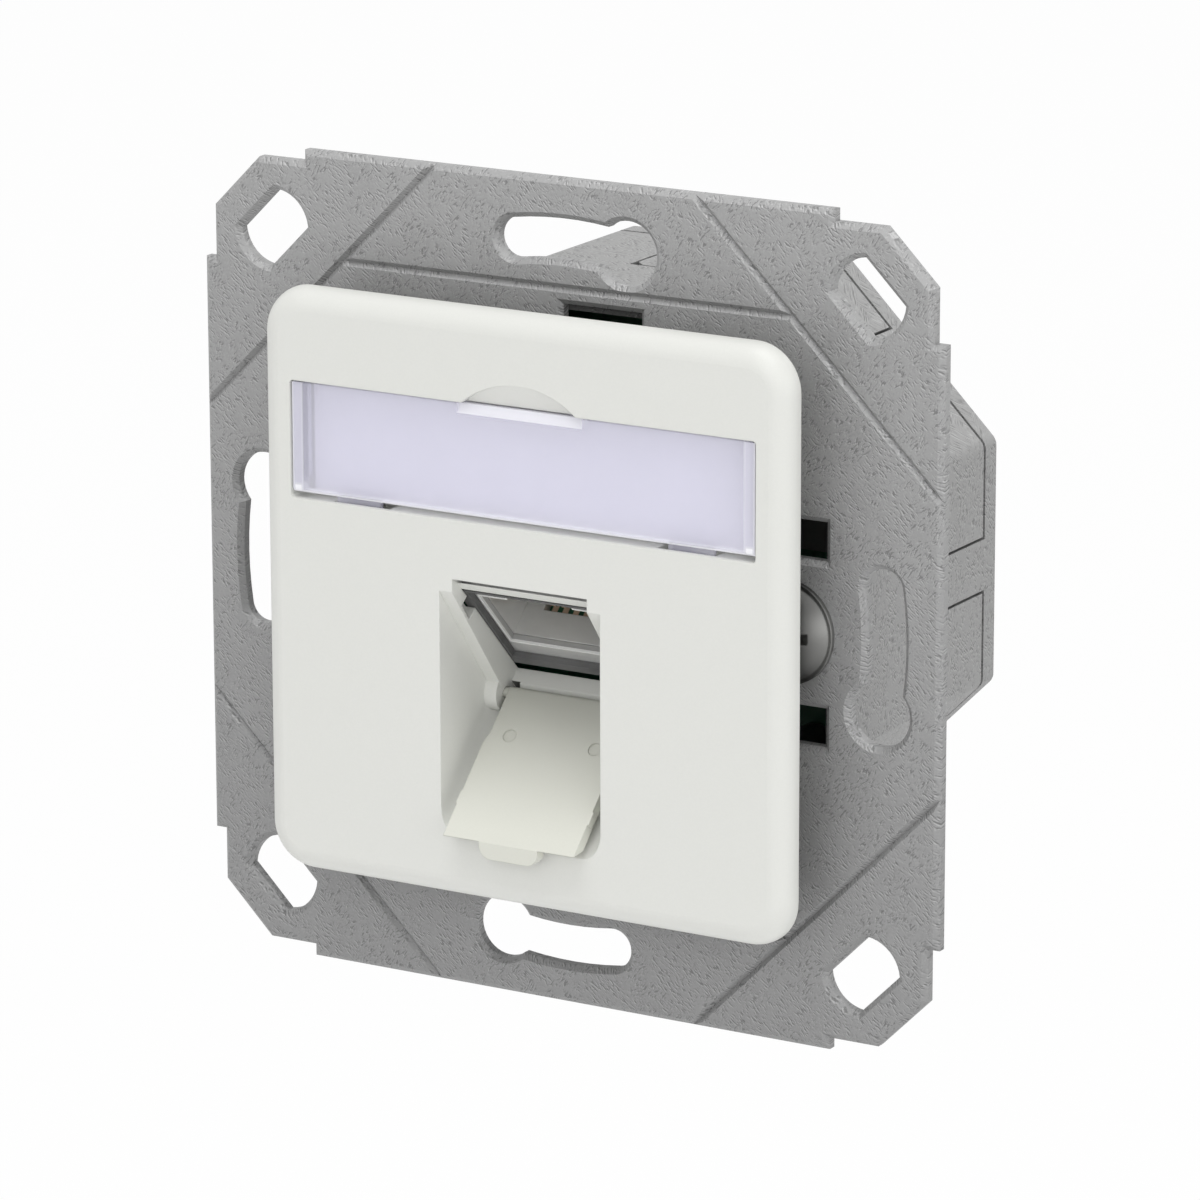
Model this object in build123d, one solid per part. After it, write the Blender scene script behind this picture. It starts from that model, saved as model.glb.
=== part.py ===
from build123d import *
import os
from math import acos, cos, degrees, radians, sin, sqrt, tan

os.makedirs("parts", exist_ok=True)

# One-port data outlet for a flush wall box, in millimetres.
# X runs to the right, Y into the wall and Z up. Y is 0 on the rear face of the support frame.

# Support frame
frame_width = 70.0
sheet = 1.2
edge_cut = 0.45
corner_step = 1.0
corner_cut = 4.5
corner_run = 4.5
opening_half_width = 15.5
opening_half_height = 19.0
opening_round = 2.0
hole_inset = 6.9
hole_r = 3.3
hole_flat_half = 2.1
slot_inset = 5.0
slot_width = 3.4
slot_start = -11.5
slot_sweep = 20.1
keyhole_r = 2.7
side_window = (3.2, 3.25)
side_window_inset = 2.1
side_window_height = 7.75
top_window = (7.4, 3.3)
top_window_inset = 2.0
top_window_shift = 3.6
groove_width = 0.75
corner_groove_inset = 16.1
level_groove_inset = 9.0

# Housing behind the frame
housing_width = 50.0
housing_depth = 27.7
housing_wall = 1.0
housing_round = 1.2
cover_rim = 2.1
seam = 0.35
arm_width = 4.4
arm_gap = 0.25
arm_front = 14.1
arm_chamfer = 0.9
screw_inset = 3.0
screw_boss_r = 3.0
screw_boss_depth = 9.0
screw_r = 1.5
screw_length = 8.0
screw_hole_gap = 0.3
screw_tip_gap = 0.5
screw_flange_r = 4.4
screw_flange = 0.45
screw_head_r = 4.05
screw_head_rise = 2.1
screw_slot = (6.7, 0.9, 0.9)
bore_clearance = 0.06
cable_hole_r = 4.6
cable_hole_height = -15.5
tie_slot = (5.0, 0.8, 0.6)

# Wiring board and what it carries
board_front = 15.0
board_thickness = 1.6
board_gap = 0.4
post_inset = 2.8
post_r = 2.4
board_screw_r = 1.1
board_screw_length = 6.0
board_screw_head = (2.1, 1.4)
board_screw_slot = (0.6, 0.56)
board_hole_gap = 0.2
seat_gap = 0.1
block_size = (7.0, 18.0)
block_room = 2.1
block_reach = 8.5
blade_pitch = 4.2
blade_count = 4
blade_size = (5.0, 0.5)
blade_base = 0.4
blade_sink = 0.2
blade_slit = 0.4
blade_mouth = 1.4
blade_pocket = 0.05
wire_slot = (0.9, 4.6)
shield_size = (0.6, 20.0)
shield_shift = 1.0
shield_room = 1.5
saddle_span = 8.2
saddle_room = 2.5
saddle_sheet = 0.8
saddle_width = 5.0
saddle_foot = 4.4
saddle_screw_tip = 0.8
pin_side = 0.5
pin_pitch = 2.54
pin_tail = 1.2
pin_row_height = 4.0

# Central plate
plate_width = 50.0
plate_standoff = 7.0
plate_edge = 2.0
plate_wall = 1.5
plate_corner_round = 4.0
plate_edge_round = 1.9
rim_width = 1.4
post_size = 3.0
post_place = (18.5, 12.0)
snap_width = 6.0
snap_thickness = 1.2
snap_height = 8.0
snap_side_gap = 0.3
hook_reach = 0.9
hook_length = 1.3
hook_gap = 0.1
hook_land = 0.3

# Label window, its card and its clear cover
label_width = 44.0
label_height = 9.95
label_centre = 12.28
label_depth = 1.85
label_floor = 1.0
label_rim = 1.0
label_round = 0.3
notch_chord_half = 5.4
notch_rise = 1.93
notch_depth = 0.9
cover_gap = 0.15
cover_bottom_gap = 0.45
cover_front = 0.15
cover_thickness = 0.9
cover_leg = (0.95, 0.55)
cover_foot = 1.2
cover_tab_reach = 15.75
cover_tab_width = 4.2
cover_tab_drop = 0.85
cover_tab_thickness = 0.4
cover_tab_gap = 0.25
cover_tab_inner_gap = 0.95
cover_lip = (11.8, 1.0, 0.45)
cover_tilt_height = 0.45
card_thickness = 0.25
card_gap = 0.3

# Port recess: depths are behind the plate's face
port_half_width = 7.63
port_top = 1.2
port_foot = -19.7
port_floor_round = 1.7
port_wall = 1.2
ledge_angle = 52.0
channel_half_width = 6.4
notch_top = 2.3
seat_height = 2.65
seat_start = -5.75
channel_end = 7.75
bar_end = (9.1, -8.6)
hinge_depth = 8.44
hinge_height = -9.31
barrel_gap = 0.15
boss_r = 1.6
hinge_notch = (0.9, 1.1, 2.2)
pin_hinge_r = 0.45
pin_hinge_length = 1.15
hinge_clearance = 0.05
detent_distance = 10.5
detent_pocket = (1.8, 1.3, 0.9)
detent_pocket_rise = 0.75

# Dust flap
flap_half_width = 6.25
flap_neck_half_width = 5.95
flap_neck = (4.0, 5.3)
flap_thickness = 1.0
flap_length = 14.25
flap_open_angle = 45.0
flap_tab_half_width = 2.8
flap_tab_drop = 1.4
flap_tab_thickness = 1.05
flap_tab_round = 1.1
flap_mark_r = 0.6
flap_mark_depth = 0.15
flap_mark_place = (4.1, 4.2)
nub = (1.2, 0.12, 0.6)
nub_rise_across = 0.2

# Jack: its own y runs into the mouth and its z up, before it is tilted
jack_tilt = 45.0
jack_depth_behind_seat = 0.69
jack_centre_along_seat = 0.76
jack_half_width = 7.2
jack_top = 5.8
jack_bottom = -6.4
jack_length = 15.5
jack_wall = 0.7
jack_round = 0.5
mouth_half_width = 5.95
mouth_half_height = 3.66
latch_half_width = 3.2
latch_rise = 1.5
mouth_depth = 12.6
insert_gap = 0.05
trough_half_width = 4.15
trough_start = 3.3
trough_end = 13.6
trough_depth = 1.5
contact_count = 8
contact_pitch = 1.016
contact_width = 0.46
contact_thickness = 0.3
contact_rise = 26.0
contact_length = 8.2
contact_tip = (1.3, -34.0)
contact_root = (4.0, 0.35)
strip_board = 0.8
strip_board_gap = 0.1
gasket_gap = 0.05
gasket_side = 0.95
gasket_foot = 1.0
spring_sheet = 0.4
spring_width = 4.0
spring_height = 6.0
spring_depth = 6.5
spring_foot = 3.0
cradle_half_width = 6.6
cradle_height = 7.5
cradle_reach = 9.0
cradle_lip = 0.5
cradle_head = 3.0
cradle_foot = 6.0
cradle_rib = 1.5
cradle_base = 1.6
cradle_gap = 0.1

# Places worked out from the sizes above
frame_front = -sheet
plate_front = frame_front - plate_standoff
half_frame = frame_width / 2
half_housing = housing_width / 2
half_plate = plate_width / 2
half_inside = half_housing - housing_wall
inside_back = housing_depth - housing_wall
slot_r = half_frame - slot_inset
hole_reach = half_frame - hole_inset
screw_reach = half_inside - screw_inset
post_reach = half_inside - post_inset
corner_groove_distance = half_frame * sqrt(2) - corner_groove_inset
level_groove_height = half_frame - level_groove_inset
cover_front_edge = housing_depth - cover_rim
board_back = board_front + board_thickness
block_height = inside_back - block_room - board_back
blade_height = block_height - blade_base - blade_sink
shield_height = inside_back - shield_room - board_back
saddle_r = (inside_back - saddle_room - board_back - saddle_sheet) / 2
barrel_r = flap_thickness / 2
hinge_y = plate_front + hinge_depth
label_low = label_centre - label_height / 2
label_high = label_centre + label_height / 2


def facing(y):
    return Plane(origin=(0, y, 0), x_dir=(1, 0, 0), z_dir=(0, -1, 0))


def prism(sketch, y_front, y_back):
    return extrude(facing(y_back) * sketch, amount=y_back - y_front, dir=(0, -1, 0))


def side_prism(points, half_width):
    return extrude(Plane.YZ * Polygon(*points, align=None), amount=half_width, both=True)


def block(x_low, x_high, y_low, y_high, z_low, z_high):
    centre = ((x_low + x_high) / 2, (y_low + y_high) / 2, (z_low + z_high) / 2)
    return Pos(*centre) * Box(x_high - x_low, y_high - y_low, z_high - z_low)


def rod(radius, x, z, y_front, y_back):
    return prism(Pos(x, z) * Circle(radius), y_front, y_back)


def turned(shape, degrees_about_y):
    return Rot(0, degrees_about_y, 0) * shape


def save(shape, name):
    export_step(shape, f"parts/{name}.step")


# Support frame: a punched sheet with stepped corners, break grooves and fixing slots
def frame_outline():
    near = half_frame - corner_step
    chamfer_reach = near - corner_cut
    step_reach = chamfer_reach - corner_run
    quarter = [
        (step_reach, half_frame),
        (step_reach, near),
        (chamfer_reach, near),
        (near, chamfer_reach),
        (near, step_reach),
        (half_frame, step_reach),
    ]
    points = []
    for turn in range(4):
        angle = radians(-90 * turn)
        for x, z in quarter:
            points.append((x * cos(angle) - z * sin(angle), x * sin(angle) + z * cos(angle)))
    return Polygon(*points, align=None)


def fixing_slot(quarter_turn):
    arc = CenterArc((0, 0), slot_r, 90 + slot_start, slot_sweep)
    keyhole = Rot(0, 0, slot_start) * Pos(0, slot_r) * Circle(keyhole_r)
    return Rot(0, 0, -90 * quarter_turn) * (SlotArc(arc, slot_width) + keyhole)


def corner_hole(quarter_turn):
    flats = Rectangle(2 * hole_r + 1, 2 * hole_flat_half)
    hole = Circle(hole_r) & flats
    return Rot(0, 0, -90 * quarter_turn) * Pos(-hole_reach, hole_reach) * Rot(0, 0, 45) * hole


def groove(length, angle, distance):
    cutter = Rot(45, 0, 0) * Box(length, groove_width / sqrt(2), groove_width / sqrt(2))
    return turned(Pos(0, frame_front, distance) * cutter, angle)


def make_support_frame():
    face = frame_outline()
    face -= RectangleRounded(2 * opening_half_width, 2 * opening_half_height, opening_round)
    for turn in range(4):
        face -= fixing_slot(turn)
        face -= corner_hole(turn)
    window = Rectangle(*side_window)
    for side in (-1, 1):
        face -= Pos(side * screw_reach, 0) * Circle(screw_r + screw_hole_gap)
        for level in (-1, 1):
            face -= Pos(side * (half_housing - side_window_inset), level * side_window_height) * window
        wide = Rectangle(*top_window)
        face -= Pos(side * top_window_shift, side * (half_housing - top_window_inset)) * wide
    frame = prism(face, frame_front, 0)
    front = frame.faces().sort_by(Axis.Y)[0]
    cut_edges = front.outer_wire().edges()
    for wire in front.inner_wires():
        if wire.center().length > half_housing:
            cut_edges += wire.edges()
    frame = chamfer(cut_edges, edge_cut)
    corner_length = 2 * frame_width
    for angle in (45, 135, 225, 315):
        frame -= groove(corner_length, angle, corner_groove_distance)
    level_length = 2 * (corner_groove_distance * sqrt(2) - level_groove_height)
    for angle in (0, 180):
        frame -= groove(level_length, angle, level_groove_height)
    return frame


# Housing: an octagonal tub with screw bosses and board posts, closed by a rear cover with eight arms
def octagon(half_width):
    return RegularPolygon(half_width, 8, major_radius=False, rotation=22.5)


def octagon_prism(half_width, y_front, y_back, radius):
    solid = prism(octagon(half_width), y_front, y_back)
    return fillet(solid.edges().filter_by(Axis.Y), radius)


def arm_blank(width, y_front, y_back, cut):
    return block(-width / 2, width / 2, y_front, y_back, half_inside - cut, half_housing + cut)


def make_housing_tub():
    tub = octagon_prism(half_housing, 0, cover_front_edge - seam / 2, housing_round)
    inside = prism(octagon(half_inside), -1, housing_depth)
    reach = block(0, screw_inset + housing_wall / 2, 0, screw_boss_depth, -screw_boss_r, screw_boss_r)
    boss = Pos(screw_reach, 0, 0) * (rod(screw_boss_r, 0, 0, 0, screw_boss_depth) + reach)
    inside -= boss
    inside -= turned(boss, 180)
    for turn in range(4):
        web = block(-post_r, post_r, 0, board_front, post_reach, half_inside + housing_wall / 2)
        post = rod(post_r, 0, post_reach, 0, board_front) + web
        inside -= turned(post, 45 + 90 * turn)
    tub -= inside
    for side in (-1, 1):
        tub -= rod(screw_r + bore_clearance, side * screw_reach, 0, -1, screw_length + screw_tip_gap)
    for turn in range(4):
        tip = board_front - board_screw_length
        hole = rod(board_screw_r + bore_clearance, 0, post_reach, tip, board_front + 1)
        tub -= turned(hole, 45 + 90 * turn)
    for turn in range(8):
        slot = arm_blank(arm_width + 2 * arm_gap, arm_front - arm_gap, housing_depth, 0)
        tub -= turned(slot, 45 * turn)
    return tub


def cover_arm():
    arm = arm_blank(arm_width, arm_front, cover_front_edge + seam, 0)
    tip = arm.edges().filter_by(Axis.Z).group_by(Axis.Y)[0]
    return chamfer(tip, arm_chamfer)


def make_rear_cover():
    front = cover_front_edge + seam / 2
    cover = octagon_prism(half_housing, front, housing_depth, housing_round)
    cover -= prism(octagon(half_inside), front - 1, housing_depth - housing_wall)
    for turn in range(8):
        cover += turned(cover_arm(), 45 * turn)
    cover -= rod(cable_hole_r, 0, cable_hole_height, housing_depth - 2, housing_depth + 1)
    width, thickness, gap = tie_slot
    low = cable_hole_height - cable_hole_r - gap
    slit = block(-width / 2, width / 2, housing_depth - 2, housing_depth + 1, low - thickness, low)
    return cover - slit


def make_housing_screws():
    screws = []
    for side in (-1, 1):
        seat = frame_front
        screw = rod(screw_flange_r, 0, 0, seat - screw_flange, seat)
        ball = (screw_head_r**2 + screw_head_rise**2) / (2 * screw_head_rise)
        dome = Pos(0, seat - screw_flange - screw_head_rise + ball, 0) * Sphere(ball)
        screw += dome & rod(screw_head_r + 1, 0, 0, seat - 5, seat - screw_flange)
        top = seat - screw_flange - screw_head_rise
        length, width, depth = screw_slot
        screw -= block(-length / 2, length / 2, top - 1, top + depth, -width / 2, width / 2)
        screw += rod(screw_r, 0, 0, seat, screw_length)
        screws.append(Pos(side * screw_reach, 0, 0) * screw)
    return Compound(screws)


# Wiring board with its blade blocks, pair shield and cable saddle
def make_main_board():
    board = prism(octagon(half_inside - board_gap), board_front + seat_gap, board_back)
    for turn in range(4):
        hole = rod(board_screw_r + board_hole_gap, 0, post_reach, board_front - 1, board_back + 1)
        board -= turned(hole, 45 + 90 * turn)
    for x, z in pin_places():
        board -= pin_at(x, z, board_front - 1, board_back + 1, bore_clearance)
    for side in (-1, 1):
        x = side * saddle_span
        board -= rod(board_screw_r + bore_clearance, x, cable_hole_height, board_front - 1, board_back + 1)
    return board


def pin_places():
    places = []
    for row in (-1, 1):
        for column in range(4):
            places.append(((column - 1.5) * pin_pitch, pin_row_height + row * pin_pitch / 2))
    return places


def pin_at(x, z, y_front, y_back, clearance=0.0):
    half = pin_side / 2 + clearance
    return block(x - half, x + half, y_front, y_back, z - half, z + half)


def small_screw(length):
    radius, rise = board_screw_head
    head = rod(radius, 0, 0, 0, rise)
    width, depth = board_screw_slot
    head -= block(-radius, radius, rise - depth, rise + 1, -width / 2, width / 2)
    return head + rod(board_screw_r, 0, 0, -length, 0)


def make_board_screws():
    screws = []
    length = board_screw_length - screw_tip_gap + board_thickness - seat_gap
    for turn in range(4):
        screw = Pos(0, board_back, post_reach) * small_screw(length)
        screws.append(turned(screw, 45 + 90 * turn))
    return Compound(screws)


def blade_heights():
    return [(index - (blade_count - 1) / 2) * blade_pitch for index in range(blade_count)]


def make_blade_block(side):
    width, length = block_size
    x = side * block_reach
    top = board_back + block_height
    body = block(x - width / 2, x + width / 2, board_back, top, -length / 2, length / 2)
    slot, slot_depth = wire_slot
    blade_width, blade_thickness = blade_size
    half_width = blade_width / 2 + blade_pocket
    half_thickness = blade_thickness / 2 + blade_pocket
    for z in blade_heights():
        body -= block(x - width, x + width, top - slot_depth, top + 1, z - slot / 2, z + slot / 2)
        body -= block(x - half_width, x + half_width, board_back + blade_base - blade_pocket, top + 1,
                      z - half_thickness, z + half_thickness)
    return body


def make_blades():
    width, thickness = blade_size
    blades = []
    low = board_back + blade_base
    top = low + blade_height
    for side in (-1, 1):
        for z in blade_heights():
            x = side * block_reach
            blade = block(x - width / 2, x + width / 2, low, top, z - thickness / 2, z + thickness / 2)
            slit = block(x - blade_slit / 2, x + blade_slit / 2, top - wire_slot[1], top + 1,
                         z - thickness, z + thickness)
            mouth = Pos(x, top, z) * Rot(0, 0, 45) * Box(blade_mouth, blade_mouth, 2 * thickness)
            blades.append(blade - slit - mouth)
    return Compound(blades)


def make_pair_shield():
    thickness, length = shield_size
    low = shield_shift - length / 2
    return block(-thickness / 2, thickness / 2, board_back, board_back + shield_height, low, low + length)


def make_cable_saddle():
    inner = saddle_r
    outer = saddle_r + saddle_sheet
    centre = board_back + saddle_r
    low = cable_hole_height - saddle_width / 2
    high = cable_hole_height + saddle_width / 2
    section = Circle(outer) + Pos(0, -outer / 2) * Rectangle(2 * outer, outer)
    section -= Circle(inner) + Pos(0, -outer) * Rectangle(2 * inner, 2 * outer)
    arch = extrude(Pos(0, centre, low) * section, amount=saddle_width, dir=(0, 0, 1))
    arch &= block(-outer, outer, board_back, centre + outer, low, high)
    reach = saddle_span + saddle_foot / 2
    feet = block(inner, reach, board_back, board_back + saddle_sheet, low, high)
    feet += block(-reach, -inner, board_back, board_back + saddle_sheet, low, high)
    saddle = arch + feet
    for side in (-1, 1):
        x = side * saddle_span
        saddle -= rod(board_screw_r + board_hole_gap, x, cable_hole_height, board_back - 1, board_back + 2)
    return saddle


def make_saddle_screws():
    screws = []
    for side in (-1, 1):
        screw = small_screw(saddle_sheet + board_thickness + saddle_screw_tip)
        screws.append(Pos(side * saddle_span, board_back + saddle_sheet, cable_hole_height) * screw)
    return Compound(screws)


# Port recess, in depth and height, and the flap's places in it
def at(depth, height):
    return (plate_front + depth, height)


def recess_apex():
    slope = tan(radians(ledge_angle))
    depth = (port_top - port_foot) / (1 + slope)
    return (depth, port_foot + depth)


def seat_point(along):
    middle = seat_height / 2
    return (middle + along / sqrt(2), middle - along / sqrt(2))


def recess_floor_middle():
    depth, height = recess_apex()
    return ((depth - 1) / 2, (height + port_foot - 1) / 2)


# The seat's along value is 0 where a line square to it meets the plate's own datum
seat_shift = -(plate_standoff) / sqrt(2)


def seat_at(station):
    return seat_point(station - seat_shift)


def make_plate_shell():
    half = plate_width / 2
    outline = RectangleRounded(plate_width, plate_width, plate_corner_round)
    shell = prism(outline, plate_front, plate_front + plate_edge)
    shell = fillet(shell.faces().sort_by(Axis.Y)[0].outer_wire().edges(), plate_edge_round)
    hollow = RectangleRounded(2 * (half - rim_width), 2 * (half - rim_width), plate_corner_round - rim_width)
    shell -= prism(hollow, plate_front + plate_wall, plate_front + plate_edge + 1)
    tray_back = plate_front + label_depth + label_floor
    tray = Rectangle(label_width + 2 * label_rim, label_height + 2 * label_rim)
    shell += prism(Pos(0, label_centre) * tray, plate_front + plate_wall / 2, tray_back)
    return shell


def label_cutter():
    opening = RectangleRounded(label_width, label_height, label_round)
    cutter = prism(Pos(0, label_centre) * opening, plate_front - 1, plate_front + label_depth)
    radius = (notch_chord_half**2 + notch_rise**2) / (2 * notch_rise)
    top = label_high + notch_rise
    disc = prism(Pos(0, top - radius) * Circle(radius), plate_front - 1, plate_front + notch_depth)
    wedge = side_prism([at(-1, top), at(0, top), at(notch_depth, label_high), at(notch_depth, label_high - 1),
                        at(-1, label_high - 1)], notch_chord_half + 1)
    cutter += disc & wedge
    lip = cover_front + cover_thickness - cover_tab_thickness - 0.15
    for side in (-1, 1):
        x = side * cover_tab_reach
        outer = x + side * (cover_tab_width / 2 + cover_tab_gap)
        inner = x - side * (cover_tab_width / 2 + cover_tab_inner_gap)
        cutter += block(min(outer, inner), max(outer, inner), plate_front + lip,
                        plate_front + label_depth + label_floor + 1,
                        label_low - cover_tab_drop, label_low + 0.5)
    return cutter


def port_block():
    top = seat_at(seat_start)
    foot = seat_at(channel_end + 0.5)
    apex_depth, apex_height = recess_apex()
    wall = port_wall * sqrt(2)
    back = apex_depth + wall
    points = [at(plate_wall / 2, top[1] + top[0] - plate_wall / 2), at(*top), at(*foot),
              at(back, foot[1] - (back - foot[0])),
              at(back, port_foot + back - wall), at(plate_wall / 2, port_foot - wall + plate_wall / 2)]
    return side_prism(points, port_half_width + port_wall)


def port_cutter():
    apex = recess_apex()
    wide = side_prism([at(-1, port_top), at(0, port_top), at(*apex), at(-1, port_foot - 1)], port_half_width)
    floor_y, floor_z = at(*recess_floor_middle())
    for side in (-1, 1):
        corner = wide.edges().sort_by_distance((side * port_half_width, floor_y, floor_z))[0]
        wide = fillet(corner, port_floor_round)
    near = seat_at(channel_end)
    ceiling = seat_height - notch_top
    channel = side_prism([at(-1, notch_top), at(ceiling, notch_top), at(*near), at(*bar_end), at(*apex),
                          at(0, port_top - 1), at(-1, port_top - 1)], channel_half_width)
    groove_r = barrel_r + barrel_gap
    groove_circle = Plane.YZ * (Pos(hinge_y, hinge_height) * Circle(groove_r))
    seat = extrude(groove_circle, amount=channel_half_width, both=True)
    mouth = side_prism([at(ceiling, notch_top), at(*seat_at(seat_start)), at(near[0] + 2, near[1] + 2),
                        at(ceiling + 2, notch_top + 2)], channel_half_width)
    half = channel_half_width
    skin_back = plate_front + plate_wall
    skin = block(-half_plate, half_plate, plate_front - 1, skin_back + 0.2, notch_top, half_plate)
    behind = block(-half, half, skin_back, 0, notch_top - 1, notch_top)
    return wide + channel + seat + (mouth - skin) + behind + hinge_notches()


def flap_frame(turn, along, rise):
    """A place on the flap at a turn from level, along it and square to its inner face."""
    angle = radians(turn)
    y = hinge_y + along * cos(angle) + rise * sin(angle)
    z = hinge_height + along * sin(angle) - rise * cos(angle)
    return Pos(0, y, z) * Rot(turn, 0, 0)


def hinge_notches():
    width, length, height = hinge_notch
    x = channel_half_width - width / 2
    notch = Pos(x, 0, 0) * Box(width, length, height) + Pos(-x, 0, 0) * Box(width, length, height)
    return flap_frame(180 + flap_open_angle, -length / 2, 0) * notch


def detent_cutter():
    length, width, depth = detent_pocket
    pocket = Box(2 * (channel_half_width + depth), length, width)
    return flap_frame(180 - ledge_angle, detent_distance, detent_pocket_rise) * pocket


def make_central_plate():
    plate = make_plate_shell() + port_block()
    for side in (-1, 1):
        for level in (-1, 1):
            plate += support_post(side, level)
            plate += snap_arm(side, level)
    plate -= label_cutter()
    plate -= port_cutter()
    plate -= detent_cutter()
    for side in (-1, 1):
        x_low, x_high = sorted((side * (channel_half_width + 0.05), side * (port_half_width + 0.2)))
        boss = Rot(0, 90, 0) * Cylinder(boss_r, x_high - x_low)
        plate += Pos((x_low + x_high) / 2, hinge_y, hinge_height) * boss
        hole_length = flap_half_width + pin_hinge_length + 0.1
        plate -= Pos(side * hole_length / 2, hinge_y, hinge_height) * Rot(0, 90, 0) * Cylinder(
            pin_hinge_r + hinge_clearance, hole_length)
    return plate


def support_post(side, level):
    x, z = post_place
    start = plate_front + plate_wall / 2
    return prism(Pos(side * x, level * z) * Rectangle(post_size, post_size), start, frame_front)


def snap_arm(side, level):
    outer = opening_half_width - snap_side_gap
    z = level * snap_height
    low = z - snap_width / 2
    high = z + snap_width / 2
    tip = hook_gap + hook_length
    arm = block(outer - snap_thickness, outer, plate_front + plate_wall / 2, tip, low, high)
    catch = Polygon((outer - 0.1, hook_gap), (outer + snap_side_gap + hook_reach, hook_gap),
                    (outer + snap_side_gap + hook_reach, hook_gap + hook_land), (outer - 0.1, tip),
                    align=None)
    hook = extrude(Pos(0, 0, low) * catch, amount=snap_width, dir=(0, 0, 1))
    arm += hook
    return arm if side > 0 else arm.mirror(Plane.YZ)


def make_label_cover():
    low = label_low + cover_bottom_gap
    high = label_high - cover_gap
    half = label_width / 2 - cover_gap
    front = plate_front + cover_front
    back = front + cover_thickness
    cover = block(-half, half, front, back, low, high)
    lower_edges = cover.edges().filter_by(Axis.X).group_by(Axis.Z)[0]
    cover = fillet(lower_edges, cover_thickness * 0.45)
    leg_width, leg_depth = cover_leg
    tab_front = back - cover_tab_thickness
    for side in (-1, 1):
        x_low, x_high = sorted((side * half, side * (half - leg_width)))
        cover += block(x_low, x_high, back - 0.2, back + leg_depth, low + cover_foot, high)
        x = side * cover_tab_reach
        cover += block(x - cover_tab_width / 2, x + cover_tab_width / 2, tab_front, back,
                       label_low - cover_tab_drop + cover_tab_gap, low + cover_tilt_height)
    lip_width, lip_height, lip_depth = cover_lip
    wedge = side_prism([(front - 1, high + 1), (front - 1, high - lip_height - lip_height / lip_depth),
                        (front + lip_depth, high), (front + lip_depth, high + 1)], lip_width / 2)
    return cover - wedge


def make_label_card():
    half = label_width / 2 - cover_gap - cover_leg[0] - card_gap
    back = plate_front + label_depth
    return block(-half, half, back - card_thickness, back, label_low + card_gap, label_high - card_gap)


def flap_outline():
    neck, shoulder = flap_neck
    near = -barrel_r
    right = [(flap_neck_half_width, near), (flap_neck_half_width, neck), (flap_half_width, shoulder),
             (flap_half_width, flap_length)]
    left = [(-x, u) for x, u in reversed(right)]
    return Polygon(*right, *left, align=None)


def make_dust_flap():
    half = flap_thickness / 2
    bevel = flap_thickness * tan(radians(ledge_angle))
    flap = extrude(flap_outline(), amount=half, both=True)
    tip = side_prism([(flap_length + 1, half), (flap_length, half), (flap_length - bevel, -half - 0.01),
                      (flap_length + 1, -half - 0.01)], flap_half_width + 1)
    flap -= tip
    flap = fillet(flap.edges().filter_by(Axis.X).sort_by(Axis.Y)[:2], half * 0.9)
    flap += Rot(0, 90, 0) * Cylinder(pin_hinge_r, 2 * (flap_half_width + pin_hinge_length))
    mark_x, mark_u = flap_mark_place
    for side in (-1, 1):
        flap -= Pos(side * mark_x, mark_u, half) * Cylinder(flap_mark_r, 2 * flap_mark_depth)
        nub_length, nub_rise, nub_width = nub
        nub_place = Pos(side * flap_half_width, detent_distance, nub_rise_across)
        flap += nub_place * Box(2 * nub_rise, nub_length, nub_width)
    flap = Rot(180 + flap_open_angle, 0, 0) * flap.mirror(Plane.XY)
    tip_y = -flap_length * cos(radians(flap_open_angle)) - half * sin(radians(flap_open_angle))
    tip_z = -flap_length * sin(radians(flap_open_angle)) + half * cos(radians(flap_open_angle))
    tab_back = tip_y + flap_tab_thickness
    tab = side_prism([(tip_y, tip_z), (tip_y, tip_z - flap_tab_drop), (tab_back, tip_z - flap_tab_drop),
                      (tab_back, tip_z + flap_tab_thickness / 2)], flap_tab_half_width)
    corners = tab.edges().filter_by(Axis.Y).group_by(Axis.Z)[0]
    tab = fillet(corners, flap_tab_round)
    return Pos(0, hinge_y, hinge_height) * (flap + tab)


# Jack, modelled level and then tilted into the seat
def jack_place():
    depth, height = seat_at(jack_centre_along_seat)
    back = jack_depth_behind_seat / sqrt(2)
    return Pos(0, plate_front + depth + back, height + back) * Rot(jack_tilt, 0, 0)


def mouth_profile(y_front, y_back):
    mouth = block(-mouth_half_width, mouth_half_width, y_front, y_back, -mouth_half_height, mouth_half_height)
    latch = block(-latch_half_width, latch_half_width, y_front, y_back, 0, mouth_half_height + latch_rise)
    return mouth + latch


def make_jack_shell():
    shell = block(-jack_half_width, jack_half_width, 0, jack_length, jack_bottom, jack_top)
    shell = fillet(shell.edges().filter_by(Axis.Y), jack_round)
    inner = jack_half_width - jack_wall
    shell -= block(-inner, inner, jack_wall, jack_length + 1, jack_bottom + jack_wall, jack_top - jack_wall)
    shell -= mouth_profile(-1, jack_wall + 1)
    return jack_place() * shell


def make_jack_insert():
    inner = jack_half_width - jack_wall - insert_gap
    low = jack_bottom + jack_wall + insert_gap
    high = jack_top - jack_wall - insert_gap
    body = block(-inner, inner, jack_wall + insert_gap, jack_length - 0.3, low, high)
    body -= mouth_profile(0, mouth_depth)
    body -= block(-trough_half_width, trough_half_width, trough_start, trough_end,
                  -mouth_half_height - trough_depth, 0)
    return jack_place() * body


def make_strip_board():
    low = -mouth_half_height - trough_depth
    half = trough_half_width - strip_board_gap
    start = trough_start + strip_board_gap
    board = block(-half, half, start, trough_end - strip_board_gap, low, low + strip_board)
    return jack_place() * board


def contact_positions():
    return [(index - (contact_count - 1) / 2) * contact_pitch for index in range(contact_count)]


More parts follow.
